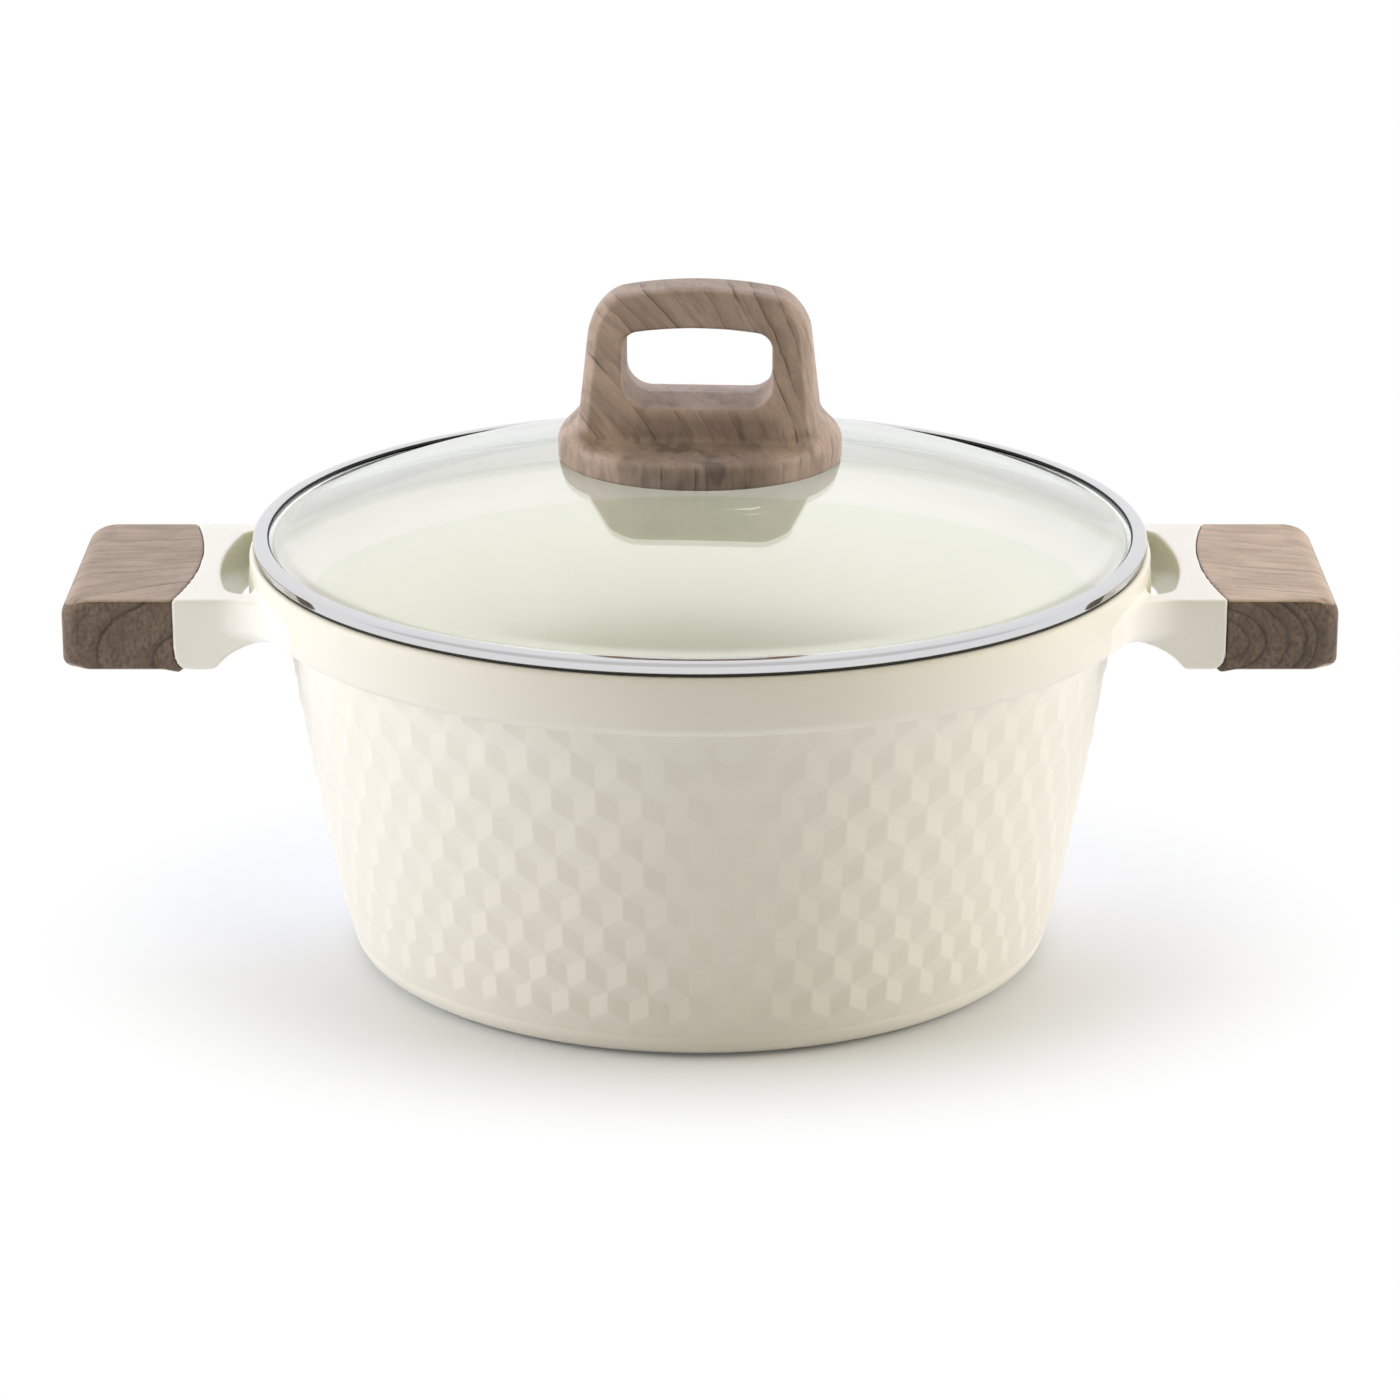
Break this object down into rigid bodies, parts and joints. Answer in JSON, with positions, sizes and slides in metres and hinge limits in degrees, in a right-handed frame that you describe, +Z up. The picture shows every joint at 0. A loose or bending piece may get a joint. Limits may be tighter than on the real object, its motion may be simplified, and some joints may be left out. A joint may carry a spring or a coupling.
{
  "type": "saucepan with glass lid",
  "caption": "Cast saucepan with side handles, a cut-cube relief on its wall, and a lift-off domed glass lid with a steel rim and a loop knob.",
  "frame": {"origin": "centre of the pot on the surface that it stands on", "axes": "+Z up along the pot's axis, +X through the right handle, +Y towards the back, so that -Y faces the picture's camera"},
  "size_m": [0.354, 0.254, 0.1925],
  "materials": {
    "cast_aluminium": "cast aluminium with a smooth cream coating outside and a pale olive non-stick coating inside",
    "base_steel": "brushed stainless steel",
    "grip_plastic": "satin, heat-resistant moulding with a taupe wood-grain effect",
    "knob_plastic": "satin, heat-resistant moulding with a taupe wood-grain effect",
    "screw_steel": "stainless steel",
    "rim_steel": "polished stainless steel",
    "lid_glass": "clear tempered glass, polished",
    "silicone": "matte translucent silicone",
    "insert_brass": "turned brass"
  },
  "bodies": {
    "pot": {"pot_body": "cast_aluminium", "induction_plate": "base_steel", "left_grip": "grip_plastic", "right_grip": "grip_plastic", "left_grip_screw": "screw_steel", "right_grip_screw": "screw_steel"},
    "lid": {"lid_glass": "lid_glass", "lid_rim": "rim_steel", "lid_knob": "knob_plastic", "knob_gasket": "silicone", "knob_insert": "insert_brass", "glass_bush": "silicone", "knob_washer": "screw_steel", "knob_screw": "screw_steel"}
  },
  "joints": [
    {"name": "lid_lift", "type": "slide", "parent": "pot", "child": "lid", "axis": [0, 0, 1], "range_m": [0, 0.15]}
  ]
}
